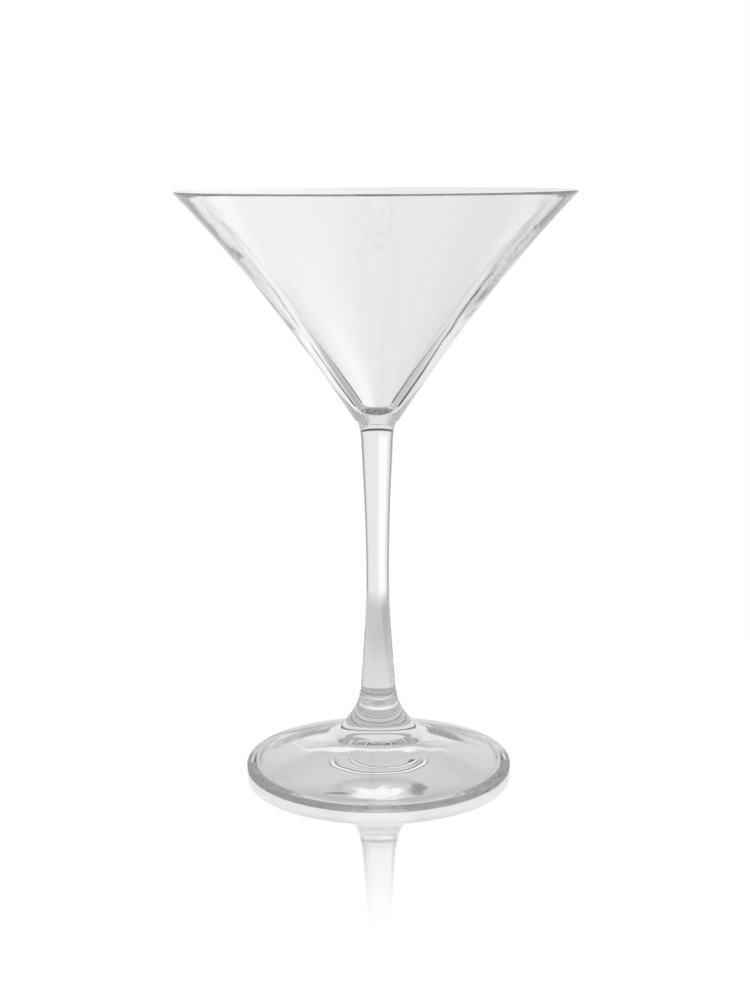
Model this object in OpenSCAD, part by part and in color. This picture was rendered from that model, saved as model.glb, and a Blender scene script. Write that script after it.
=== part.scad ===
// Stemmed martini glass: a flared bowl, a solid drawn stem and a conical foot, fused end to end.
// The origin is the centre of the plane that the foot stands on, and +Z runs up the axis.
// Each piece is one outline turned round that axis, so an outline's points are [radius, height].

/* [Overall] */
// Height of the glass, from the plane it stands on to the top of the rim
glass_h = 176; // [165:1:200]
// Height of the joint between the foot and the stem
foot_joint_h = 24.3; // [23:0.1:27]
// Height of the joint between the stem and the bowl
bowl_joint_h = 108.6; // [102:0.1:112]

/* [Bowl] */
// Outside diameter of the rim
rim_d = 117.5; // [105:0.5:130]
// Radius that rounds each corner of the rim
rim_edge_r = 0.4; // [0.3:0.05:0.6]
// Width of the rim's level top, between its rounded corners
rim_flat_w = 0.9; // [0.6:0.1:1.4]
// Outside diameter of the bowl's solid base, at the joint with the stem
bowl_base_d = 13.4; // [12.8:0.1:16]
// Lean of the outside wall from upright, at the solid base
outside_low_lean = 33; // [30:0.5:36]
// Lean of the outside wall from upright, at the rim
outside_rim_lean = 43.5; // [40:0.5:45]
// Lean of the inside wall from upright, where it meets the rounded bottom
inside_low_lean = 35; // [32:0.5:38]
// Lean of the inside wall from upright, at the rim
inside_rim_lean = 45.5; // [43:0.5:47]
// Thickness of solid glass between the joint and the bottom of the inside
bowl_base_t = 3.3; // [2.5:0.1:6]
// Radius of the rounded bottom of the inside
bowl_bottom_r = 6.5; // [4:0.5:8]

/* [Stem] */
// Diameter of the stem at its foot
stem_low_d = 10.7; // [8:0.1:11]
// Diameter of the stem at its waist, the thinnest place
stem_waist_d = 6.9; // [5:0.1:8]
// Height of the waist
stem_waist_h = 61; // [55:1:70]
// Diameter of the stem at its neck, just under the flare that carries the bowl
stem_neck_d = 9.4; // [8:0.1:10]
// Height of the neck
stem_neck_h = 100.5; // [96:0.5:101]
// Diameter of the stem at the joint with the bowl
stem_top_d = 12.4; // [11:0.1:12.6]

/* [Foot] */
// Diameter of the foot
foot_d = 81.2; // [76:0.2:90]
// Diameter of the collar on the foot that takes the stem
collar_d = 11.4; // [11.2:0.1:14]
// Height of the top of the foot's edge
edge_h = 3.4; // [3:0.1:5]
// Radius that rounds the upper corner of the edge
edge_top_r = 1.4; // [0.8:0.1:1.6]
// Radius that rounds the lower corner of the edge
edge_low_r = 1; // [0.5:0.1:1.4]
// Slope of the foot's top, in degrees from level
foot_slope = 17.8; // [16.5:0.1:20]
// Diameter at which the collar's flare meets the sloping top
flare_d = 32; // [28:1:40]
// Width of the flat ring that the foot rests on
rest_ring_w = 2.1; // [1.5:0.1:3]
// Slope of the hollow under the foot, in degrees from level
hollow_slope = 15.5; // [12:0.5:16.5]
// Diameter of the rounded top of the hollow
hollow_top_d = 18; // [14:1:24]

/* [Hidden] */

// Colour of the clear glass
glass_colour = [0.86, 0.88, 0.88];
// Steps along each long curve, and along each small rounding
curve_steps = 24;
corner_steps = 8;
$fn = 120;

// Share of a long curve's span at which its end tangents pull
pull = 1 / 3;
// Straight run of the collar down into its flare, and of the flare into the sloping top
collar_run = 4.6;
flare_run = 5;
// Width of the curve from the rest ring into the hollow, and straight run into the hollow's top
ring_run = 3;
hollow_run = 3;
// Straight run of the stem away from each end of its two drawn lengths, and of its top flare
stem_low_run = 11;
stem_waist_run = 15;
stem_neck_run = 9;
stem_top_run = 3;
stem_top_lean = 30;
// Lean of the stem's outline from upright at the neck and at the foot
stem_neck_lean = 3;
stem_low_lean = -3;

// Centres of the roundings on the rim's two corners, and of the rounded bottom of the inside
rim_out = [rim_d / 2 - rim_edge_r, glass_h - rim_edge_r];
rim_in = rim_out - [rim_flat_w, 0];
bottom_centre = [0, bowl_joint_h + bowl_base_t + bowl_bottom_r];
foot_r = foot_d / 2;
flare_end = [flare_d / 2, edge_h + (foot_r - edge_top_r - flare_d / 2) * tan(foot_slope)];
rest_ring_r = foot_r - edge_low_r - rest_ring_w;

// A step of length d, leaning by an angle from upright
function step(lean, d) = d * [sin(lean), cos(lean)];

// The points after p0 of a cubic curve that leaves p0 for p1 and reaches p3 from p2
function curve(p0, p1, p2, p3) = [
    for (i = [1 : curve_steps])
        let (t = i / curve_steps, s = 1 - t)
            pow(s, 3) * p0 + 3 * s * s * t * p1 + 3 * s * t * t * p2 + pow(t, 3) * p3
];

// The points after a of a wall that leans by one angle at a and by another at b
function wall(a, lean_a, b, lean_b) =
    let (d = norm(b - a) * pull)
        curve(a, a + step(lean_a, d), b - step(lean_b, d), b);

// A point on a circle, at an angle from the radius direction
function on_circle(centre, r, angle) = centre + r * [cos(angle), sin(angle)];

// The points after the first of an arc round a centre
function arc(centre, r, from, to) = [
    for (i = [1 : corner_steps])
        on_circle(centre, r, from + (to - from) * i / corner_steps)
];

// A conical bowl with gently flaring walls that thicken down to a solid base
module bowl() {
    base = [bowl_base_d / 2, bowl_joint_h];
    rim_outside = on_circle(rim_out, rim_edge_r, -outside_rim_lean);
    rim_inside = on_circle(rim_in, rim_edge_r, 180 - inside_rim_lean);
    bottom_edge = on_circle(bottom_centre, bowl_bottom_r, -inside_low_lean);

    color(glass_colour)
        rotate_extrude()
            polygon(concat(
                [[0, bowl_joint_h], base],
                wall(base, outside_low_lean, rim_outside, outside_rim_lean),
                arc(rim_out, rim_edge_r, -outside_rim_lean, 90),
                [on_circle(rim_in, rim_edge_r, 90)],
                arc(rim_in, rim_edge_r, 90, 180 - inside_rim_lean),
                wall(rim_inside, 180 + inside_rim_lean, bottom_edge, 180 + inside_low_lean),
                arc(bottom_centre, bowl_bottom_r, -inside_low_lean, -90)
            ));
}

// A solid stem, drawn down to a waist and flaring again to carry the bowl
module stem() {
    low = [stem_low_d / 2, foot_joint_h];
    waist = [stem_waist_d / 2, stem_waist_h];
    neck = [stem_neck_d / 2, stem_neck_h];
    top = [stem_top_d / 2, bowl_joint_h];

    color(glass_colour)
        rotate_extrude()
            polygon(concat(
                [[0, foot_joint_h], low],
                curve(low, low + step(stem_low_lean, stem_low_run),
                    waist - [0, stem_waist_run], waist),
                curve(waist, waist + [0, stem_waist_run],
                    neck - step(stem_neck_lean, stem_neck_run), neck),
                curve(neck, neck + step(stem_neck_lean, stem_top_run),
                    top - step(stem_top_lean, stem_top_run), top),
                [[0, bowl_joint_h]]
            ));
}

// A point on the slope of the hollow under the foot, at radius r
function in_hollow(r) = [r, (rest_ring_r - r) * tan(hollow_slope)];

// A conical foot with a rounded edge, a flared collar for the stem and a conical hollow underneath
module foot() {
    collar = [collar_d / 2, foot_joint_h];
    edge_top_centre = [foot_r - edge_top_r, edge_h - edge_top_r];
    edge_low_centre = [foot_r - edge_low_r, edge_low_r];
    ring_inside = in_hollow(rest_ring_r);
    hollow_low = in_hollow(rest_ring_r - ring_run);
    hollow_top = in_hollow(hollow_top_d / 2);
    hollow_middle = [0, (in_hollow(0)[1] + hollow_top[1]) / 2];
    up_hollow = hollow_slope - 90;

    color(glass_colour)
        rotate_extrude()
            polygon(concat(
                [[0, foot_joint_h], collar],
                curve(collar, collar - [0, collar_run],
                    flare_end - step(90 + foot_slope, flare_run), flare_end),
                [on_circle(edge_top_centre, edge_top_r, 90 - foot_slope)],
                arc(edge_top_centre, edge_top_r, 90 - foot_slope, 0),
                [on_circle(edge_low_centre, edge_low_r, 0)],
                arc(edge_low_centre, edge_low_r, 0, -90),
                [ring_inside],
                curve(ring_inside, ring_inside - [ring_run / 2, 0],
                    hollow_low - step(up_hollow, ring_run / 2), hollow_low),
                [hollow_top],
                curve(hollow_top, hollow_top + step(up_hollow, hollow_run),
                    hollow_middle + [hollow_run, 0], hollow_middle)
            ));
}

bowl();
stem();
foot();
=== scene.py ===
"""Looks for the martini glass: three lathed pieces of clear glass on a pale, glossy table."""

import math

import bmesh
import bpy
from mathutils import Euler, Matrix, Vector


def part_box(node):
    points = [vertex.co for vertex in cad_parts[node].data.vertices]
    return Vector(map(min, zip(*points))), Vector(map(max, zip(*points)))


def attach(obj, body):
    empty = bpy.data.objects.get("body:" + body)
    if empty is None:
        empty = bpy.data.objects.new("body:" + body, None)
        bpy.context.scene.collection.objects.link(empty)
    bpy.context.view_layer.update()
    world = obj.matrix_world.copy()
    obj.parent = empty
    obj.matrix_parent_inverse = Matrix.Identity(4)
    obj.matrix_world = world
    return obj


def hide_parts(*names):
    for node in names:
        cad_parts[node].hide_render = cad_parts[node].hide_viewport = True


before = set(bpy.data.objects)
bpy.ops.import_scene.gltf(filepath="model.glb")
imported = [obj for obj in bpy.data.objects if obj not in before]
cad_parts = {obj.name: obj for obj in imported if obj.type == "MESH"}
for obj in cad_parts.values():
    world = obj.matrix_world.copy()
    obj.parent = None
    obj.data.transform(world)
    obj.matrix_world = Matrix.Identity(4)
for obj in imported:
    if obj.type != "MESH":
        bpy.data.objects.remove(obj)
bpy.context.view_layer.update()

MM = 0.001

# ---------------------------------------------------------------- sizes taken from the frame
BOWL_LOW, BOWL_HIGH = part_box("bowl")
STEM_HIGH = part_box("stem")[1]
FOOT_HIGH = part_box("foot")[1]

GLASS_H = BOWL_HIGH.z
RIM_R = BOWL_HIGH.y
FOOT_R = FOOT_HIGH.y
BOWL_JOINT_H = BOWL_LOW.z
FOOT_JOINT_H = FOOT_HIGH.z
STEM_TOP_R = STEM_HIGH.y

# ---------------------------------------------------------------- sizes of the glass's outline
RIM_EDGE_R, RIM_FLAT = 0.4 * MM, 0.9 * MM
BOWL_BASE_R = 6.7 * MM
BOWL_BASE_T = 3.3 * MM
BOWL_BOTTOM_R = 6.5 * MM
OUTSIDE_LOW_LEAN, OUTSIDE_RIM_LEAN = 33, 43.5
INSIDE_LOW_LEAN, INSIDE_RIM_LEAN = 35, 45.5

STEM_LOW_R = 5.35 * MM
STEM_WAIST_R, STEM_WAIST_H = 3.45 * MM, 61 * MM
STEM_NECK_R, STEM_NECK_H = 4.7 * MM, 100.5 * MM
STEM_LOW_RUN, STEM_WAIST_RUN = 11 * MM, 15 * MM
STEM_NECK_RUN, STEM_TOP_RUN = 9 * MM, 3 * MM
STEM_LOW_LEAN, STEM_NECK_LEAN, STEM_TOP_LEAN = -3, 3, 30

COLLAR_R = 5.7 * MM
COLLAR_RUN, FLARE_RUN = 4.6 * MM, 5 * MM
FLARE_R = 16 * MM
EDGE_H = 3.4 * MM
EDGE_TOP_R, EDGE_LOW_R = 1.4 * MM, 1 * MM
DOME_SLOPE = 17.8
REST_RING_R = 37.5 * MM
RING_RUN = 3 * MM
UNDERSIDE_SLOPE = 15.5
UNDERSIDE_TOP_R, UNDERSIDE_TOP_RUN = 9 * MM, 3 * MM

TURNS = 256
CURVE_STEPS = 48
CORNER_STEPS = 16
DOME_STEPS, RING_STEPS, HOLLOW_STEPS = 16, 4, 24
PULL = 1 / 3


# ---------------------------------------------------------------- outlines, as [radius, height]
def step(lean, length):
    """A step of that length, leaning by an angle from upright."""
    a = math.radians(lean)
    return Vector((math.sin(a), math.cos(a))) * length


def curve(p0, p1, p2, p3, steps=CURVE_STEPS):
    """The points after p0 of a cubic curve that leaves p0 for p1 and reaches p3 from p2."""
    points = []
    for i in range(1, steps + 1):
        t = i / steps
        s = 1 - t
        points.append(p0 * s**3 + p1 * 3 * s * s * t + p2 * 3 * s * t * t + p3 * t**3)
    return points


def wall(a, lean_a, b, lean_b):
    """The points after a of a wall that leans by one angle at a and by another at b."""
    d = (b - a).length * PULL
    return curve(a, a + step(lean_a, d), b - step(lean_b, d), b)


def on_circle(centre, r, angle):
    a = math.radians(angle)
    return centre + Vector((math.cos(a), math.sin(a))) * r


def arc(centre, r, start, end, steps=CORNER_STEPS):
    """The points after the first of an arc round a centre."""
    return [on_circle(centre, r, start + (end - start) * i / steps) for i in range(1, steps + 1)]


def straight(a, b, steps):
    """The points after a of a straight line to b."""
    return [a.lerp(b, i / steps) for i in range(1, steps + 1)]


def bowl_outline():
    rim_out = Vector((RIM_R - RIM_EDGE_R, GLASS_H - RIM_EDGE_R))
    rim_in = rim_out - Vector((RIM_FLAT, 0))
    bottom = Vector((0, BOWL_JOINT_H + BOWL_BASE_T + BOWL_BOTTOM_R))
    base = Vector((BOWL_BASE_R, BOWL_JOINT_H))
    outside = on_circle(rim_out, RIM_EDGE_R, -OUTSIDE_RIM_LEAN)
    inside = on_circle(rim_in, RIM_EDGE_R, 180 - INSIDE_RIM_LEAN)
    bottom_edge = on_circle(bottom, BOWL_BOTTOM_R, -INSIDE_LOW_LEAN)
    return (
        [base]
        + wall(base, OUTSIDE_LOW_LEAN, outside, OUTSIDE_RIM_LEAN)
        + arc(rim_out, RIM_EDGE_R, -OUTSIDE_RIM_LEAN, 90)
        + [on_circle(rim_in, RIM_EDGE_R, 90)]
        + arc(rim_in, RIM_EDGE_R, 90, 180 - INSIDE_RIM_LEAN)
        + wall(inside, 180 + INSIDE_RIM_LEAN, bottom_edge, 180 + INSIDE_LOW_LEAN)
        + arc(bottom, BOWL_BOTTOM_R, -INSIDE_LOW_LEAN, -90)
    )


def stem_outline():
    low = Vector((STEM_LOW_R, FOOT_JOINT_H))
    waist = Vector((STEM_WAIST_R, STEM_WAIST_H))
    neck = Vector((STEM_NECK_R, STEM_NECK_H))
    top = Vector((STEM_TOP_R, BOWL_JOINT_H))
    up = Vector((0, STEM_WAIST_RUN))
    return (
        [low]
        + curve(low, low + step(STEM_LOW_LEAN, STEM_LOW_RUN), waist - up, waist)
        + curve(waist, waist + up, neck - step(STEM_NECK_LEAN, STEM_NECK_RUN), neck)
        + curve(
            neck,
            neck + step(STEM_NECK_LEAN, STEM_TOP_RUN),
            top - step(STEM_TOP_LEAN, STEM_TOP_RUN),
            top,
        )
    )


def foot_outline():
    collar = Vector((COLLAR_R, FOOT_JOINT_H))
    dome_rise = (FOOT_R - EDGE_TOP_R - FLARE_R) * math.tan(math.radians(DOME_SLOPE))
    flare_end = Vector((FLARE_R, EDGE_H + dome_rise))
    edge_top = Vector((FOOT_R - EDGE_TOP_R, EDGE_H - EDGE_TOP_R))
    edge_low = Vector((FOOT_R - EDGE_LOW_R, EDGE_LOW_R))
    dome_end = on_circle(edge_top, EDGE_TOP_R, 90 - DOME_SLOPE)
    side_low = on_circle(edge_low, EDGE_LOW_R, 0)
    ring_out = on_circle(edge_low, EDGE_LOW_R, -90)
    ring_in = Vector((REST_RING_R, 0))
    rise = math.tan(math.radians(UNDERSIDE_SLOPE))
    cone_low = ring_in + Vector((-RING_RUN, RING_RUN * rise))
    cone_w = REST_RING_R - UNDERSIDE_TOP_R
    cone_top = ring_in + Vector((-cone_w, cone_w * rise))
    middle = Vector((0, cone_top.y + UNDERSIDE_TOP_R * rise / 2))
    up_cone = step(UNDERSIDE_SLOPE - 90, 1)
    return (
        [collar]
        + curve(
            collar,
            collar - Vector((0, COLLAR_RUN)),
            flare_end - step(90 + DOME_SLOPE, FLARE_RUN),
            flare_end,
        )
        + straight(flare_end, dome_end, DOME_STEPS)
        + arc(edge_top, EDGE_TOP_R, 90 - DOME_SLOPE, 0)
        + [side_low]
        + arc(edge_low, EDGE_LOW_R, 0, -90)
        + straight(ring_out, ring_in, RING_STEPS)
        + curve(
            ring_in,
            ring_in - Vector((RING_RUN / 2, 0)),
            cone_low - up_cone * RING_RUN / 2,
            cone_low,
        )
        + straight(cone_low, cone_top, HOLLOW_STEPS)
        + curve(
            cone_top,
            cone_top + up_cone * UNDERSIDE_TOP_RUN,
            middle + Vector((UNDERSIDE_TOP_RUN, 0)),
            middle,
        )
    )


# ---------------------------------------------------------------- meshes
def lathe(name, outline, glass, joint_material):
    """A closed solid of revolution, whose open ends are closed by flat fused faces."""
    mesh = bpy.data.meshes.new(name)
    bm = bmesh.new()
    rings = []
    for p in outline:
        if p.x < 1e-7:
            rings.append([bm.verts.new((0, 0, p.y))])
            continue
        ring = []
        for k in range(TURNS):
            a = 2 * math.pi * k / TURNS
            ring.append(bm.verts.new((p.x * math.cos(a), p.x * math.sin(a), p.y)))
        rings.append(ring)
    for low, high in zip(rings, rings[1:]):
        for k in range(TURNS):
            n = (k + 1) % TURNS
            if len(high) == 1:
                bm.faces.new((low[k], low[n], high[0]))
            else:
                bm.faces.new((low[k], low[n], high[n], high[k]))
    for ring in (rings[0], rings[-1]):
        if len(ring) > 1:
            centre = bm.verts.new((0, 0, ring[0].co.z))
            for k in range(TURNS):
                face = bm.faces.new((ring[k], ring[(k + 1) % TURNS], centre))
                face.material_index = 1
    bmesh.ops.recalc_face_normals(bm, faces=bm.faces)
    for face in bm.faces:
        face.smooth = True
    for edge in bm.edges:
        kinds = {f.material_index for f in edge.link_faces}
        if len(kinds) == 2:
            edge.smooth = False
    bm.to_mesh(mesh)
    bm.free()
    mesh.materials.append(glass)
    mesh.materials.append(joint_material)
    piece = bpy.data.objects.new(name, mesh)
    bpy.context.scene.collection.objects.link(piece)
    return piece


# ---------------------------------------------------------------- materials
def new_material(name):
    material = bpy.data.materials.new(name)
    material.use_nodes = True
    nodes = material.node_tree.nodes
    nodes.clear()
    out = nodes.new("ShaderNodeOutputMaterial")
    return material, nodes, material.node_tree.links, out


def wire(nodes, links, kind, inputs=(), **settings):
    """A new node with its settings, and each of its inputs linked to a socket or set to a value."""
    node = nodes.new(kind)
    for key, value in settings.items():
        setattr(node, key, value)
    for key, value in dict(inputs).items():
        if isinstance(value, bpy.types.NodeSocket):
            links.new(value, node.inputs[key])
        else:
            node.inputs[key].default_value = value
    return node


def ramp(nodes, links, value, low, high, start, end):
    """start where value is below low, end where it is above high, and smooth between."""
    node = wire(
        nodes,
        links,
        "ShaderNodeMapRange",
        {"Value": value, "From Min": low, "From Max": high, "To Min": start, "To Max": end},
        interpolation_type="SMOOTHSTEP",
    )
    return node.outputs["Result"]


def maths(nodes, links, operation, *values):
    node = wire(nodes, links, "ShaderNodeMath", enumerate(values), operation=operation)
    return node.outputs["Value"]


def noise(nodes, links, place, size):
    """Smooth blotches of about that size."""
    node = wire(
        nodes,
        links,
        "ShaderNodeTexNoise",
        {"Vector": place, "Scale": 1 / size, "Detail": 1},
    )
    return node.outputs[0]


def window(nodes, links, value, centre, half, soft):
    """1 where value is within half of centre, and 0 beyond it after a soft edge."""
    off = maths(nodes, links, "ABSOLUTE", maths(nodes, links, "SUBTRACT", value, centre))
    return ramp(nodes, links, off, half - soft, half + soft, 1, 0)


def blend(nodes, links, share, low, high):
    """low where share is 0 and high where it is 1."""
    return wire(nodes, links, "ShaderNodeMix", {0: share, 2: low, 3: high}).outputs[0]


def distance(nodes, links, place, centre, size):
    """How far a place lies from the centre across the table, in halves of size."""
    moved = wire(nodes, links, "ShaderNodeVectorMath", {0: place}, operation="SUBTRACT")
    moved.inputs[1].default_value = (*centre, -TABLE_DROP)
    scaled = wire(nodes, links, "ShaderNodeVectorMath", {0: moved.outputs[0]}, operation="DIVIDE")
    scaled.inputs[1].default_value = (*size, 1)
    far = wire(nodes, links, "ShaderNodeVectorMath", {0: scaled.outputs[0]}, operation="LENGTH")
    return far.outputs["Value"]


def glow(nodes, links, strength):
    lamp = wire(nodes, links, "ShaderNodeEmission", {"Color": (1, 1, 1, 1), "Strength": strength})
    return lamp.outputs[0]


def mix_shaders(nodes, links, share, first, second):
    return wire(nodes, links, "ShaderNodeMixShader", {0: share, 1: first, 2: second}).outputs[0]


GLASS_TINT = (0.99, 0.99, 0.99)
GLASS_IOR = 1.51
# How fast the glass takes up light, per metre.
GLASS_DEPTH = 5
# Waves that the making leaves in the surface: how far apart, and how high.
WAVE_SIZE, WAVE_HEIGHT = 12 * MM, 0.07 * MM
# A faint film: the size of its blotches, the noise values where it starts and is full, roughness.
FILM_SIZE = 4 * MM
FILM_START, FILM_FULL = 0.5, 0.8
FILM_ROUGHNESS = 0.012


def glass_material():
    """Clear glass with faint waves, a patchy film and a little darkening with depth."""
    material, nodes, links, out = new_material("clear_glass")
    place = nodes.new("ShaderNodeTexCoord").outputs["Object"]
    film = noise(nodes, links, place, FILM_SIZE)
    waves = noise(nodes, links, place, WAVE_SIZE)
    bump = wire(
        nodes,
        links,
        "ShaderNodeBump",
        {"Height": waves, "Distance": WAVE_HEIGHT, "Strength": 1},
    )
    shader = wire(
        nodes,
        links,
        "ShaderNodeBsdfPrincipled",
        {
            "Base Color": (*GLASS_TINT, 1),
            "Transmission Weight": 1,
            "IOR": GLASS_IOR,
            "Roughness": ramp(nodes, links, film, FILM_START, FILM_FULL, 0, FILM_ROUGHNESS),
            "Normal": bump.outputs["Normal"],
        },
    )
    links.new(shader.outputs["BSDF"], out.inputs["Surface"])
    depth = wire(
        nodes,
        links,
        "ShaderNodeVolumeAbsorption",
        {"Color": (0, 0, 0, 1), "Density": GLASS_DEPTH},
    )
    links.new(depth.outputs["Volume"], out.inputs["Volume"])
    return material


def joint_face_material():
    """Nothing to see: fused glass has no gap at a joint."""
    material, nodes, links, out = new_material("fused_joint")
    clear = nodes.new("ShaderNodeBsdfTransparent")
    links.new(clear.outputs["BSDF"], out.inputs["Surface"])
    return material


# ---------------------------------------------------------------- table
# The table's radius, half the width of its faded edge, and how far it lies under the foot.
TABLE_R, TABLE_EDGE = 0.19, 0.03
TABLE_DROP = 0.1 * MM
TABLE_SIDES = 96
# Brightness of the table to the camera, and to every other ray on its right and, darkened by
# painted shade, on its left.
TABLE_WHITE = 1.01
TABLE_GREY, TABLE_SHADE = 0.58, 0.46
SHADE_EDGE = (-0.045, -0.028)
# The gloss near the foot, its full strength beyond that, and where it starts and ends its fade.
FOOT_GLOSS, FOOT_GLOSS_EDGE = 0.35, (0.043, 0.053)
TABLE_GLOSS = 1.0
GLOSS_NEAR, GLOSS_FAR = 0.055, 0.125
TABLE_ROUGHNESS = 0.06
# Brightness of the room in the table's gloss, and what the gloss takes off the grey.
MIRRORED_LEVEL, MIRRORED_GREY = 0.93, 0.7

# Painted light and painted shade on the table for the look of the main view, which the camera sees
# only through
# glass: bright patches and rings stand in for light the glass gathers, dark spots and lines for
# shade. They are not light from the glass, and they look out of place from other sides.
# Spots: x, y, half width, half depth, brightness.
PAINTED_LIGHT_AND_SHADE_SPOTS = (
    (0, -0.028, 0.008, 0.0065, 0.97),
    (-0.003, 0.0190, 0.024, 0.0060, 0.98),
    (0.0115, -0.024, 0.003, 0.005, 0.30),
    (0.0105, 0.0015, 0.0014, 0.0030, 0.05),
    (-0.0125, -0.0275, 0.0045, 0.0010, 0.30),
)
# Rings: x, y, radius, half width, brightness.
PAINTED_LIGHT_AND_SHADE_RINGS = (
    (0, 0.0042, 0.0142, 0.0011, 0.10),
    (0, 0.0042, 0.0143, 0.0005, 1.00),
    (0.0017, 0.0055, 0.0100, 0.0009, 0.15),
    (0.0017, 0.0055, 0.0101, 0.0004, 1.00),
    (0, 0, 0.0390, 0.0006, 0.00),
    (0, 0, 0.0381, 0.0004, 1.00),
    (0, 0, 0.0372, 0.0004, 0.05),
)
# Where the rings fade out towards the back, and the softness of their lines.
RING_FRONT, RING_BACK = -0.001, 0.009
RING_SOFT = 0.6
# Where a spot's edge starts and ends, the size of the blotches that make it ragged, how ragged.
SPOT_INSIDE, SPOT_OUTSIDE = 0.6, 1.2
RAGGED_SIZE, RAGGED = 0.004, 1.3


def table_material():
    """The camera sees glossy white, and every other ray sees glossy grey with painted shade on its
    left and painted spots and rings of light and shade.
    """
    material, nodes, links, out = new_material("pale_table")
    path = nodes.new("ShaderNodeLightPath")
    place = nodes.new("ShaderNodeNewGeometry").outputs["Position"]
    axes = wire(nodes, links, "ShaderNodeSeparateXYZ", {0: place})
    x, y = axes.outputs[0], axes.outputs[1]
    r = wire(nodes, links, "ShaderNodeVectorMath", {0: place}, operation="LENGTH").outputs["Value"]

    past_foot = ramp(nodes, links, r, *FOOT_GLOSS_EDGE, FOOT_GLOSS, 1)
    fading = ramp(nodes, links, r, GLOSS_NEAR, GLOSS_FAR, TABLE_GLOSS, 0)
    gloss = maths(nodes, links, "MULTIPLY", past_foot, fading)
    gloss_colour = wire(nodes, links, "ShaderNodeCombineColor", {0: gloss, 1: gloss, 2: gloss})
    mirror = wire(
        nodes,
        links,
        "ShaderNodeBsdfGlossy",
        {"Color": gloss_colour.outputs[0], "Roughness": TABLE_ROUGHNESS},
    )
    lost = maths(nodes, links, "MULTIPLY", gloss, MIRRORED_LEVEL)
    white = glow(nodes, links, maths(nodes, links, "SUBTRACT", TABLE_WHITE, lost))
    seen = wire(nodes, links, "ShaderNodeAddShader", {0: white, 1: mirror.outputs[0]}).outputs[0]

    level = ramp(nodes, links, x, *SHADE_EDGE, TABLE_SHADE, TABLE_GREY)
    ragged = maths(nodes, links, "MULTIPLY", noise(nodes, links, place, RAGGED_SIZE), RAGGED)
    # Painted light and painted shade: bright patches and dark spots laid over the table's grey.
    for spot_x, spot_y, half_x, half_y, value in PAINTED_LIGHT_AND_SHADE_SPOTS:
        off = distance(nodes, links, place, (spot_x, spot_y), (half_x, half_y))
        off = maths(nodes, links, "ADD", off, maths(nodes, links, "SUBTRACT", ragged, RAGGED / 2))
        spot = ramp(nodes, links, off, SPOT_INSIDE, SPOT_OUTSIDE, 1, 0)
        level = blend(nodes, links, spot, level, value)
    # Painted rings of light and painted rings of shade, fading out towards the back.
    near = ramp(nodes, links, y, RING_FRONT, RING_BACK, 1, 0)
    for ring_x, ring_y, radius, half, value in PAINTED_LIGHT_AND_SHADE_RINGS:
        off = distance(nodes, links, place, (ring_x, ring_y), (1, 1))
        line = window(nodes, links, off, radius, half, half * RING_SOFT)
        level = blend(nodes, links, maths(nodes, links, "MULTIPLY", line, near), level, value)
    kept = maths(nodes, links, "MULTIPLY", gloss, MIRRORED_GREY)
    lit = glow(nodes, links, maths(nodes, links, "SUBTRACT", level, kept))
    hidden = wire(nodes, links, "ShaderNodeAddShader", {0: lit, 1: mirror.outputs[0]}).outputs[0]
    shown = mix_shaders(nodes, links, path.outputs["Is Camera Ray"], hidden, seen)

    edge = ramp(nodes, links, r, TABLE_R - TABLE_EDGE, TABLE_R + TABLE_EDGE, 0, 1)
    clear = nodes.new("ShaderNodeBsdfTransparent").outputs[0]
    links.new(mix_shaders(nodes, links, edge, shown, clear), out.inputs["Surface"])
    return material


# ---------------------------------------------------------------- camera and light
CAMERA_DISTANCE = 0.5207
CAMERA_HEIGHT = 0.1847
CAMERA_SIDE = -0.0007
CAMERA_PITCH = 10.93
CAMERA_ROLL = -0.30
LENS_MM, SENSOR_MM = 63.4, 36


def make_camera():
    data = bpy.data.cameras.new("camera")
    data.lens = LENS_MM
    data.sensor_width = SENSOR_MM
    data.clip_start = 0.01
    data.clip_end = 100
    camera = bpy.data.objects.new("camera", data)
    camera.location = (CAMERA_SIDE, -CAMERA_DISTANCE, CAMERA_HEIGHT)
    tilt = Euler((math.radians(90 - CAMERA_PITCH), 0, 0)).to_matrix()
    roll = Euler((0, 0, math.radians(CAMERA_ROLL))).to_matrix()
    camera.rotation_euler = (tilt @ roll).to_euler()
    bpy.context.scene.collection.objects.link(camera)
    bpy.context.scene.camera = camera


# The studio as the glass sees it. Azimuth 0 is straight behind the glass and grows to the right.
# The room is darker behind the camera, between these two values of the direction's Y.
BACKDROP = 0.86
ROOM_GREY, ROOM_EDGE = 0.38, (-0.92, -0.8)
# Brightness overhead, and the elevations between which it takes over.
OVERHEAD, OVERHEAD_EDGE = 0.9, (55, 70)
# Cards and strips of other brightness, set for the main view.
# Azimuth, half width, elevation, half height, soft edge, brightness.
CARDS = (
    (-17, 14, -32, 30, 4, 1.06),
    (-78, 34, 0, 60, 8, 0.58),
    (65, 21, 0, 40, 8, 0.60),
    (118, 30, 10, 35, 8, 0.95),
    (50, 25, 38, 18, 8, 0.42),
    (-60, 8, -6, 12, 3, 0.25),
    (0, 200, 8, 3, 1.5, 0.08),
    (0, 200, 30, 4, 1.5, 0.45),
    (62, 9, -6, 12, 3, 0.22),
    (-27, 4, -24, 4, 2, 0.03),
    (29, 6, -24, 6, 2, 0.03),
)


def make_floor():
    mesh = bpy.data.meshes.new("floor")
    bm = bmesh.new()
    bmesh.ops.create_circle(bm, cap_ends=True, segments=TABLE_SIDES, radius=TABLE_R + TABLE_EDGE)
    bm.to_mesh(mesh)
    bm.free()
    mesh.materials.append(table_material())
    floor = bpy.data.objects.new("floor", mesh)
    floor.location.z = -TABLE_DROP
    bpy.context.scene.collection.objects.link(floor)


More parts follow.
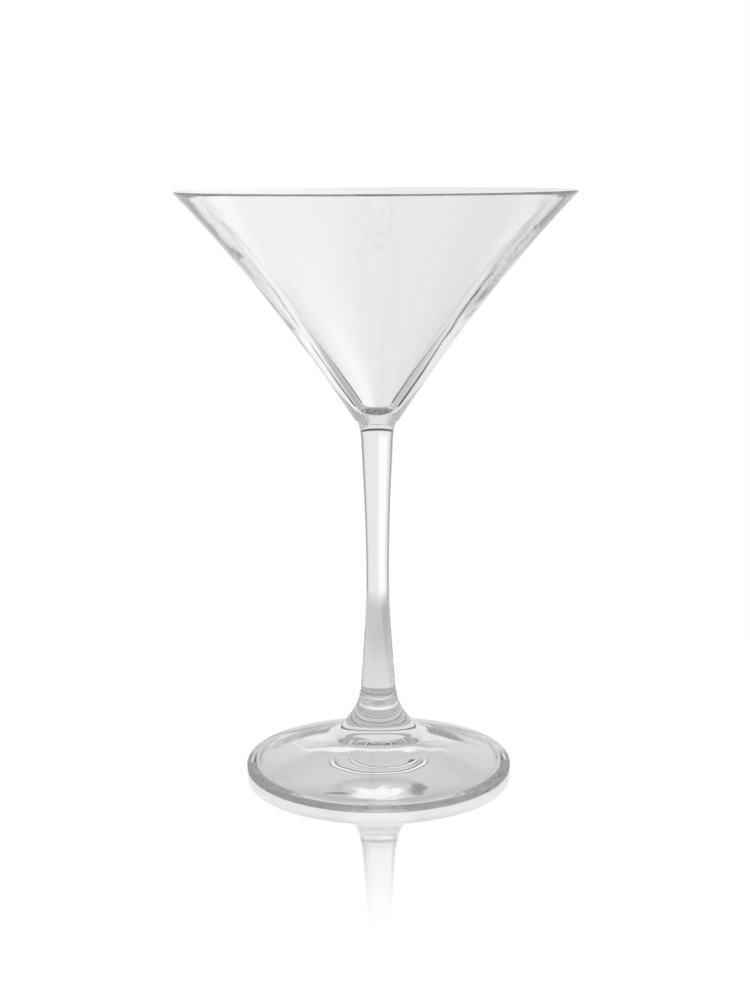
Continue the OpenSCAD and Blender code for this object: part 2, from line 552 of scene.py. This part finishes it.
def make_world():
    """White for the camera and even in mirrors. Through glass, a backdrop with cards round it."""
    world = bpy.data.worlds.new("studio")
    bpy.context.scene.world = world
    world.use_nodes = True
    nodes, links = world.node_tree.nodes, world.node_tree.links
    nodes.clear()
    out = nodes.new("ShaderNodeOutputWorld")
    path = nodes.new("ShaderNodeLightPath")
    where = nodes.new("ShaderNodeTexCoord")
    axes = wire(nodes, links, "ShaderNodeSeparateXYZ", {0: where.outputs["Generated"]})
    x, y, z = (axes.outputs[i] for i in range(3))
    azimuth = maths(nodes, links, "DEGREES", maths(nodes, links, "ARCTAN2", x, y))
    elevation = maths(nodes, links, "DEGREES", maths(nodes, links, "ARCSINE", z))
    level = ramp(nodes, links, y, *ROOM_EDGE, ROOM_GREY, BACKDROP)
    for card_az, half_az, card_el, half_el, soft, value in CARDS:
        across = window(nodes, links, azimuth, card_az, half_az, soft)
        along = window(nodes, links, elevation, card_el, half_el, soft)
        level = blend(nodes, links, maths(nodes, links, "MULTIPLY", across, along), level, value)
    above = ramp(nodes, links, elevation, *OVERHEAD_EDGE, 0, 1)
    level = blend(nodes, links, above, level, OVERHEAD)
    through, bounced = path.outputs["Is Transmission Ray"], path.outputs["Is Glossy Ray"]
    mirrored = maths(nodes, links, "SUBTRACT", bounced, through)
    level = blend(nodes, links, mirrored, level, MIRRORED_LEVEL)
    level = blend(nodes, links, path.outputs["Is Camera Ray"], level, 1.0)
    sky = wire(nodes, links, "ShaderNodeBackground", {"Color": (1, 1, 1, 1), "Strength": level})
    links.new(sky.outputs[0], out.inputs["Surface"])


def make_piece(name, node, outline, glass, joint_material):
    piece = lathe(name, outline, glass, joint_material)
    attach(piece, "root")
    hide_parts(node)


# Light that runs along inside a wall bounces many times before it gets out.
GLASS_BOUNCES = 160

make_camera()
make_floor()
make_world()
bpy.context.scene.view_settings.view_transform = "Standard"
cycles = bpy.context.scene.cycles
cycles.max_bounces = GLASS_BOUNCES
cycles.transmission_bounces = GLASS_BOUNCES
cycles.glossy_bounces = GLASS_BOUNCES
cycles.diffuse_bounces = 6
cycles.transparent_max_bounces = 32

joint_face = joint_face_material()
clear_glass = glass_material()
make_piece("bowl_glass", "bowl", bowl_outline(), clear_glass, joint_face)
make_piece("stem_glass", "stem", stem_outline(), clear_glass, joint_face)
make_piece("foot_glass", "foot", foot_outline(), clear_glass, joint_face)
